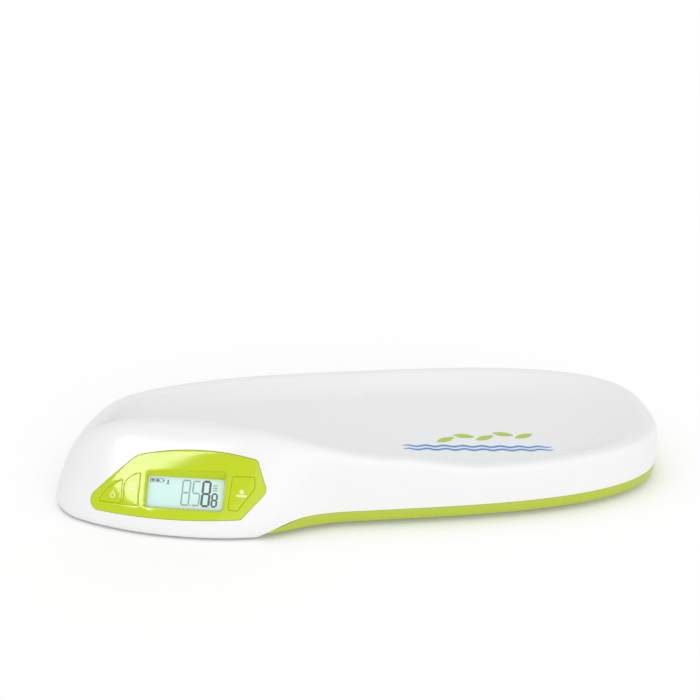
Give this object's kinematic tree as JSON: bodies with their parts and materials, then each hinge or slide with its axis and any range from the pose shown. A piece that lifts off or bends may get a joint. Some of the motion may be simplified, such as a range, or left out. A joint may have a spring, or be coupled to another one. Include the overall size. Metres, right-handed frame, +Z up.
{
  "type": "baby weighing scale",
  "caption": "Digital baby scale: long white tray with a raised rim and a sloping console hood at one corner, display and keys on a green panel, green base, load-cell feet.",
  "frame": {"origin": "middle of the bounding box, on the floor under the foot pads", "axes": "+X towards the tray's foot end, the long way; -Y towards the console's face; +Z up"},
  "size_m": [0.5978, 0.2881, 0.091],
  "materials": {
    "white_shell": "glossy white moulding",
    "green_base": "glossy yellow-green moulding",
    "green_panel": "glossy yellow-green moulding",
    "green_keys": "glossy yellow-green moulding",
    "switch_plunger": "brown key plunger",
    "switch_body": "black switch housing",
    "clear_lens": "clear polished window",
    "lcd_glass": "pale blue-green display glass",
    "diffuser": "milky diffuser",
    "inner_plastic": "plain white inner moulding",
    "pad_rubber": "dark soft rubber",
    "circuit_board": "green solder mask",
    "chip_black": "black packages",
    "socket_white": "ivory sockets",
    "screw_steel": "zinc-plated steel",
    "cell_steel": "bare spring steel",
    "gauge_seal": "white sealing compound",
    "lead_cover": "light grey sheath",
    "contact_nickel": "nickel-plated steel",
    "battery_jacket": "printed film over the cell, left plain"
  },
  "bodies": {
    "scale": {"base_shell": "green_base", "battery_1": "battery_jacket", "battery_2": "battery_jacket", "battery_3": "battery_jacket", "battery_4": "battery_jacket", "battery_lead": "lead_cover", "battery_plates": "contact_nickel", "battery_springs": "contact_nickel", "board_chips": "chip_black", "board_connectors": "socket_white", "board_screws": "screw_steel", "cell_lead_1": "lead_cover", "cell_lead_2": "lead_cover", "cell_lead_3": "lead_cover", "cell_lead_4": "lead_cover", "console_bezel": "green_panel", "display_lens": "clear_lens", "foot_holder_1": "inner_plastic", "foot_holder_2": "inner_plastic", "foot_holder_3": "inner_plastic", "foot_holder_4": "inner_plastic", "foot_pad_1": "pad_rubber", "foot_pad_2": "pad_rubber", "foot_pad_3": "pad_rubber", "foot_pad_4": "pad_rubber", "housing_screws": "screw_steel", "lcd_backlight": "diffuser", "lcd_glass": "lcd_glass", "lcd_holder": "inner_plastic", "load_cell_1": "cell_steel", "load_cell_2": "cell_steel", "load_cell_3": "cell_steel", "load_cell_4": "cell_steel", "main_board": "circuit_board", "strain_gauge_1": "gauge_seal", "strain_gauge_2": "gauge_seal", "strain_gauge_3": "gauge_seal", "strain_gauge_4": "gauge_seal", "switch_bodies": "switch_body", "top_shell": "white_shell", "zebra_strips": "pad_rubber"},
    "left_button": {"button_left": "green_keys", "plunger_left": "switch_plunger"},
    "middle_button": {"button_middle": "green_keys", "plunger_middle": "switch_plunger"},
    "right_button": {"button_right": "green_keys", "plunger_right": "switch_plunger"},
    "battery_door": {"battery_door": "green_base"}
  },
  "joints": [
    {"name": "left_button_press", "type": "slide", "parent": "scale", "child": "left_button", "axis": [0.21, 0.812, -0.5446], "range_m": [0, 0.0005], "stiffness_N_per_m": 1500, "springref_m": -0.0004},
    {"name": "middle_button_press", "type": "slide", "parent": "scale", "child": "middle_button", "axis": [0.21, 0.812, -0.5446], "range_m": [0, 0.0005], "stiffness_N_per_m": 1500, "springref_m": -0.0004},
    {"name": "right_button_press", "type": "slide", "parent": "scale", "child": "right_button", "axis": [0.21, 0.812, -0.5446], "range_m": [0, 0.0005], "stiffness_N_per_m": 1500, "springref_m": -0.0004},
    {"name": "battery_door_hinge", "type": "hinge", "parent": "scale", "child": "battery_door", "pos_m": [-0.01051, 0.00764, 0.006], "axis": [0, 1, 0], "range_deg": [0, 85]}
  ]
}
